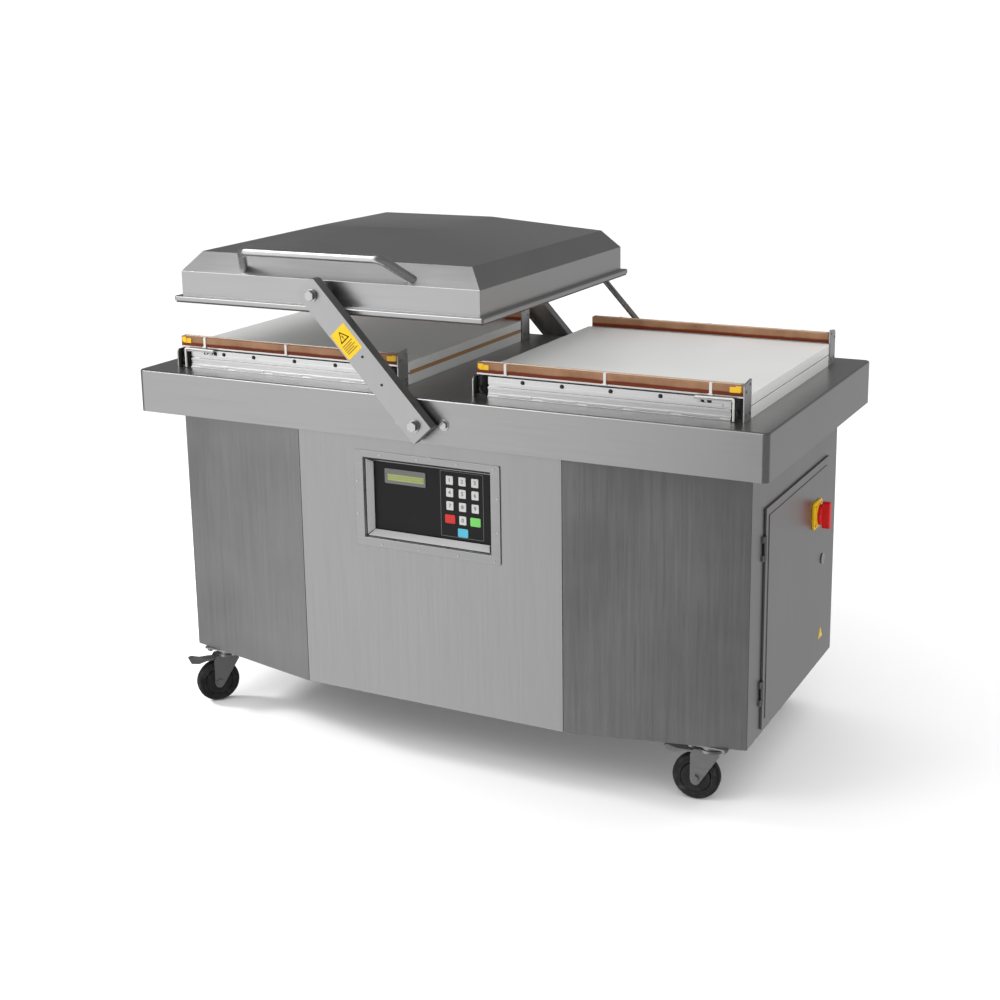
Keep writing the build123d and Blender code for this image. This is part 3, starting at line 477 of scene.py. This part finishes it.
finish_mesh(cb, "display_cells", moulded("display_cells", srgb(124, 132, 72), 0.3), "base")
sb = bmesh.new()
for x in (-120, -20, 84, 178):
    for z in (530.5, 748):
        round_bar(sb, (x, -405.0, z), (x, -405.9, z), 2.6, 0.3, 18)
for z in (600, 680):
    for x in (-183, 187):
        round_bar(sb, (x, -405.0, z), (x, -405.9, z), 2.6, 0.3, 18)
finish_mesh(sb, "bezel_screws", "endplate", "base")

# ------------------------------------------------------------------ sealing frames
for side_name, sx in (("left", -1), ("right", 1)):
    cx_ = sx * 419.0
    for pos, sy in (("front", -1), ("rear", 1)):
        y = sy * 322.0
        body = "%s_%s_bar" % (side_name, pos)
        tb = bmesh.new()
        add_block(tb, (cx_ - 306, cx_ + 306, y - 6.5, y + 6.5, 974.0 - 0.3, 974.45), 0.1)
        finish_mesh(tb, body + "_tape", "tape", body)
        wb = bmesh.new()
        for dy in (-2.6, 2.6):
            round_bar(wb, (cx_ - 308, y + dy, 974.25), (cx_ + 308, y + dy, 974.25), 0.55, 0.1, 8)
        for px in (-1, 1):
            add_block(wb, (cx_ + px * 311 - 3, cx_ + px * 311 + 3, y - 5, y + 5, 973.4, 974.85), 0.3)
        finish_mesh(wb, body + "_wire", "wire", body)
        # spring clips that hold the mouth of a bag, over the outer face of the bar
        kb = bmesh.new()
        out = y + sy * 12.0
        for dx in (-243, 0, 243):
            x = cx_ + dx
            add_block(kb, (x - 3.2, x + 3.2, min(out, out + sy * 1.6), max(out, out + sy * 1.6), 947.5, 974.9), 0.4)
            add_block(kb, (x - 3.2, x + 3.2, min(out + sy * 1.5, out - sy * 6), max(out + sy * 1.5, out - sy * 6), 973.8, 974.9), 0.3)
            round_bar(kb, (x - 5.5, out + sy * 2.6, 949.5), (x + 5.5, out + sy * 2.6, 949.5), 2.1, 0.4, 14)
        finish_mesh(kb, body + "_bag_clips", "clip", body)
        # yellow ends of the heating tape
        yb = bmesh.new()
        for px in (-1, 1):
            x = cx_ + px * 297
            add_block(yb, (x - 12, x + 12, min(out, out + sy * 1.2), max(out, out + sy * 1.2), 957.5, 969.5), 0.4)
            add_block(yb, (x + px * 8 - 6, x + px * 8 + 6, min(out, out + sy * 2.4), max(out, out + sy * 2.4), 960.0, 972.0), 0.6)
        finish_mesh(yb, body + "_tape_ends", "yellow", body)
        # cap screws along the rail and the clamping strip under them
        rb = bmesh.new()
        face = y + sy * 10.0
        xs = (-244, -214, -188, -98, 22, 139, 226) if sx < 0 else (-201, -104, 13, 129, 226, 240)
        for dx in xs:
            round_bar(rb, (cx_ + dx, face, 934.5), (cx_ + dx, face + sy * 3.2, 934.5), 3.4, 0.5, 16)
            round_bar(rb, (cx_ + dx, face, 934.5), (cx_ + dx, face + sy * 0.6, 934.5), 5.2, 0.2, 20)
        finish_mesh(rb, body.replace("_bar", "_rail") + "_screws", "screw", "base")
        gb = bmesh.new()
        add_block(gb, (cx_ - 270, cx_ + 270, min(face, face + sy * 1.5), max(face, face + sy * 1.5), 923.5, 930.5), 0.4)
        for k in range(5):
            add_block(gb, (cx_ - 262 + k * 110, cx_ - 262 + k * 110 + 84, min(y + sy * 12, y + sy * 13.4),
                           max(y + sy * 12, y + sy * 13.4), 899.5, 904.0), 0.4)
        finish_mesh(gb, body.replace("_bar", "_rail") + "_strips", "alu", "base")
        # compressed-air hose fittings at the foot of each lift cylinder
        hb = bmesh.new()
        for px in (-1, 1):
            x = cx_ + px * 304.5
            for z in (908.0, 922.0, 936.0):
                round_bar(hb, (x, y, z), (x, y, z + 3.0), 14.2, 0.8, 32)
            round_bar(hb, (x, y + sy * 12.5, 914), (x, y + sy * 19, 914), 4.0, 0.8, 18)
            round_bar(hb, (x, y + sy * 17, 914), (x, y + sy * 17, 921), 3.2, 0.8, 18)
        finish_mesh(hb, body.replace("_bar", "_cylinder") + "_rings", "black", "base")
        # end plate screws
        eb = bmesh.new()
        for px in (-1, 1):
            x = cx_ + px * 322.5
            for yy, zz in ((sy * 312, 974 if px > 0 else 934), (sy * 336, 962 if px > 0 else 930), (sy * 312, 912), (sy * 336, 912)):
                round_bar(eb, (x, yy, zz), (x + px * 1.6, yy, zz), 3.0, 0.5, 16)
        finish_mesh(eb, body.replace("_bar", "_end") + "_screws", "parts", "base")
        # bent light rod at the outer end of each front rail
        xo = sx * 716.0
        tube(body.replace("_bar", "_stay") + "_rod",
             [(xo - sx * 86, y + sy * 21, 944), (xo - sx * 8, y + sy * 21, 945), (xo, y + sy * 21, 945),
              (xo, y + sy * 21, 937), (xo, y + sy * 21, 897.5)], 2.6, "clip", "base", 10)
        pb = bmesh.new()
        add_block(pb, (xo - sx * 43 - 47, xo - sx * 43 + 40, min(y + sy * 11, y + sy * 20), max(y + sy * 11, y + sy * 20), 938, 941), 0.5)
        round_bar(pb, (xo - sx * 76, y + sy * 14, 936), (xo - sx * 76, y + sy * 20, 936), 3.4, 0.5, 16)
        round_bar(pb, (xo - sx * 62, y + sy * 14, 936), (xo - sx * 62, y + sy * 20, 936), 3.4, 0.5, 16)
        finish_mesh(pb, body.replace("_bar", "_stay") + "_tab", "endplate", "base")
# tan edge strip between the two filler plates at the inner end of the left field
block("left_field_edge_strip", (-98.4, -96.4, -292, 292, 920.0, 929.5), "tan", "base", 0.5)

# ------------------------------------------------------------------ arms
LEAN = radians(42.8945)
arm_rot = Matrix.Translation((0, 0, 0.839)) @ Matrix.Rotation(-LEAN, 4, "Y")
block("arm_label", (-27, 22, -446.5, -445.9, 214, 286), "label", "lid_arms", 0.15, rot=arm_rot)
ib = bmesh.new()
for k in range(5):
    add_block(ib, (-20 + 0, 14 - (k % 2) * 6, -446.75, -446.4, 224 + k * 5.2, 225.6 + k * 5.2), 0.05)
bmesh.ops.transform(ib, matrix=arm_rot, verts=ib.verts)
finish_mesh(ib, "arm_label_bars", "ink", "lid_arms")
for nm, mat, slot, half, zlo, zhi, ya, yb_ in (("frame", "ink", "control_black", 15.0, 253.0, 279.0, -446.5, -446.1),
                                             ("field", "label", "switch_yellow", 10.6, 255.6, 274.0, -446.8, -446.4)):
    tb = bmesh.new()
    pts = [(-2.5 - half, zlo), (-2.5 + half, zlo), (-2.5, zhi)]
    vs = [[tb.verts.new((q[0] * MM, y * MM, q[1] * MM)) for q in pts] for y in (ya, yb_)]
    tb.faces.new(vs[0])
    tb.faces.new(list(reversed(vs[1])))
    for i in range(3):
        j = (i + 1) % 3
        tb.faces.new((vs[0][j], vs[0][i], vs[1][i], vs[1][j]))
    bmesh.ops.transform(tb, matrix=arm_rot, verts=tb.verts)
    finish_mesh(tb, "arm_label_triangle_" + nm, mat, "lid_arms")
tb = bmesh.new()
add_block(tb, (-3.7, -1.3, -447.0, -446.7, 260.5, 267.5), 0.05)
add_block(tb, (-3.7, -1.3, -447.0, -446.7, 257.0, 259.0), 0.05)
bmesh.ops.transform(tb, matrix=arm_rot, verts=tb.verts)
finish_mesh(tb, "arm_label_triangle_mark", "ink", "lid_arms")
kb = bmesh.new()
for a in (198, 120):
    round_bar(kb, (6 if a == 198 else 0, -445.5, a), (6 if a == 198 else 0, -447.4, a), 3.2, 0.6, 18)
bmesh.ops.transform(kb, matrix=arm_rot, verts=kb.verts)
finish_mesh(kb, "arm_screws", "screw", "lid_arms")

# ------------------------------------------------------------------ service door
db = bmesh.new()
pts = [(232 - 17, 218), (232 + 17, 218), (232, 218 + 29)]
vs = []
for x in (758.4, 759.0):
    vs.append([db.verts.new((x * MM, p[0] * MM, p[1] * MM)) for p in pts])
db.faces.new(vs[0])
db.faces.new(list(reversed(vs[1])))
for i in range(3):
    j = (i + 1) % 3
    db.faces.new((vs[0][i], vs[0][j], vs[1][j], vs[1][i]))
finish_mesh(db, "door_triangle_label", "label", "service_door")
rb = bmesh.new()
for yy, zz in ((136, 536), (184, 536), (136, 584), (184, 584)):
    round_bar(rb, (764.4, yy, zz), (765.8, yy, zz), 3.0, 0.5, 16)
finish_mesh(rb, "switch_plate_screws", "parts", "service_door")

# ------------------------------------------------------------------ casters
for key, (x, y, ang) in {"front_left": (-672, -292, 50), "front_right": (664, -292, 8),
                         "rear_left": (-620, 250, -70), "rear_right": (620, 250, -110)}.items():
    a = radians(ang)
    c = Vector((x - 34 * cos(a), y - 34 * sin(a), 55))
    n = Vector((-sin(a), cos(a), 0))
    wb = bmesh.new()
    for s in (-1, 1):
        round_bar(wb, c + n * s * 12.0, c + n * s * 15.2, 34, 1.0, 40)
        round_bar(wb, c + n * s * 14.0, c + n * s * 16.6, 14, 1.0, 32)
    finish_mesh(wb, "caster_%s_hub" % key, "black", "caster_%s_wheel" % key)
    nb = bmesh.new()
    for s in (-1, 1):
        round_bar(nb, c + n * s * 19.0, c + n * s * 24.0, 7.5, 0.9, 6)
    finish_mesh(nb, "caster_%s_axle_nuts" % key, "parts", "caster_%s_swivel" % key)
pb = bmesh.new()
for x, y in ((-672, -292), (664, -292), (-620, 250), (620, 250)):
    for dx in (-38, 38):
        for dy in (-30, 30):
            round_bar(pb, (x + dx, y + dy, 139), (x + dx, y + dy, 134), 6.5, 0.7, 6)
finish_mesh(pb, "caster_plate_bolts", "parts", "base")

# ------------------------------------------------------------------ stage and light
fm = bpy.data.meshes.new("floor")
fm.from_pydata([(-60, -60, 0), (60, -60, 0), (60, 60, 0), (-60, 60, 0)], [], [(0, 1, 2, 3)])
floor = bpy.data.objects.new("floor", fm)
scene.collection.objects.link(floor)
fmat, fnt, fbs = new_mat("floor_pale")
fbs.inputs["Base Color"].default_value = (0.90, 0.90, 0.90, 1)
fbs.inputs["Roughness"].default_value = 0.9
fm.materials.append(fmat)
floor.visible_glossy = False

world = bpy.data.worlds.new("studio")
scene.world = world
world.use_nodes = True
wt = world.node_tree
bg = wt.nodes["Background"]
wc = wt.nodes.new("ShaderNodeTexCoord").outputs["Generated"]
wn = wt.nodes


def lobe(direction, f0, f1, t0, t1):
    """Light from a tall soft panel in one compass direction."""
    flat = wn.new("ShaderNodeVectorMath")
    flat.operation = "MULTIPLY"
    flat.inputs[1].default_value = (1, 1, 0)
    wt.links.new(wc, flat.inputs[0])
    nrm = wn.new("ShaderNodeVectorMath")
    nrm.operation = "NORMALIZE"
    wt.links.new(flat.outputs[0], nrm.inputs[0])
    d = wn.new("ShaderNodeVectorMath")
    d.operation = "DOT_PRODUCT"
    d.inputs[1].default_value = direction
    wt.links.new(nrm.outputs[0], d.inputs[0])
    mr = wn.new("ShaderNodeMapRange")
    mr.interpolation_type = "SMOOTHSTEP"
    mr.inputs["From Min"].default_value, mr.inputs["From Max"].default_value = f0, f1
    mr.inputs["To Min"].default_value, mr.inputs["To Max"].default_value = t0, t1
    wt.links.new(d.outputs["Value"], mr.inputs["Value"])
    return mr.outputs["Result"]


sep = wn.new("ShaderNodeSeparateXYZ")
wt.links.new(wc, sep.inputs[0])
a1 = lobe((-0.588, -0.809, 0), 0.91, 0.985, 0.0, 1.04)          # front left, the main panel
a2 = lobe((0.33, 0.944, 0), 0.70, 1.0, 0.0, 0.25)               # behind, low
low = wn.new("ShaderNodeMapRange")
low.inputs["From Min"].default_value, low.inputs["From Max"].default_value = -0.05, 0.25
low.inputs["To Min"].default_value, low.inputs["To Max"].default_value = 1.0, 0.0
wt.links.new(sep.outputs["Z"], low.inputs["Value"])
a2 = math_node(wt, "MULTIPLY", a2, low.outputs["Result"])
high = wn.new("ShaderNodeMapRange")
high.inputs["From Min"].default_value, high.inputs["From Max"].default_value = 0.0, 0.3
high.inputs["To Min"].default_value, high.inputs["To Max"].default_value = 0.25, 0.17
wt.links.new(sep.outputs["Z"], high.inputs["Value"])
glow_sum = math_node(wt, "ADD", math_node(wt, "ADD", a1, a2), high.outputs["Result"])
lp = wt.nodes.new("ShaderNodeLightPath")
pick = wt.nodes.new("ShaderNodeMix")
pick.data_type = "FLOAT"
wt.links.new(lp.outputs["Is Glossy Ray"], pick.inputs[0])
pick.inputs[2].default_value = 1.22
wt.links.new(glow_sum, pick.inputs[3])
wt.links.new(pick.outputs[0], bg.inputs["Strength"])
bg.inputs["Color"].default_value = (1, 1, 1, 1)


def area(name, loc, target, size, power, glossy=True):
    li = bpy.data.lights.new(name, "AREA")
    li.shape, li.size, li.energy = "SQUARE", size, power
    o = bpy.data.objects.new(name, li)
    scene.collection.objects.link(o)
    o.location = loc
    o.rotation_mode = "QUATERNION"
    o.rotation_quaternion = (Vector(target) - Vector(loc)).to_track_quat("-Z", "Y")
    o.visible_glossy = glossy
    o.visible_camera = False


area("key", (-2.6, -3.2, 3.6), (0, 0, 0.9), 2.2, 60)
area("rim", (2.8, 2.6, 3.2), (0, 0, 0.9), 1.6, 12, glossy=False)
area("low_left", (-2.3, -0.6, 1.22), (-0.45, 0.0, 0.95), 0.4, 40, glossy=False)
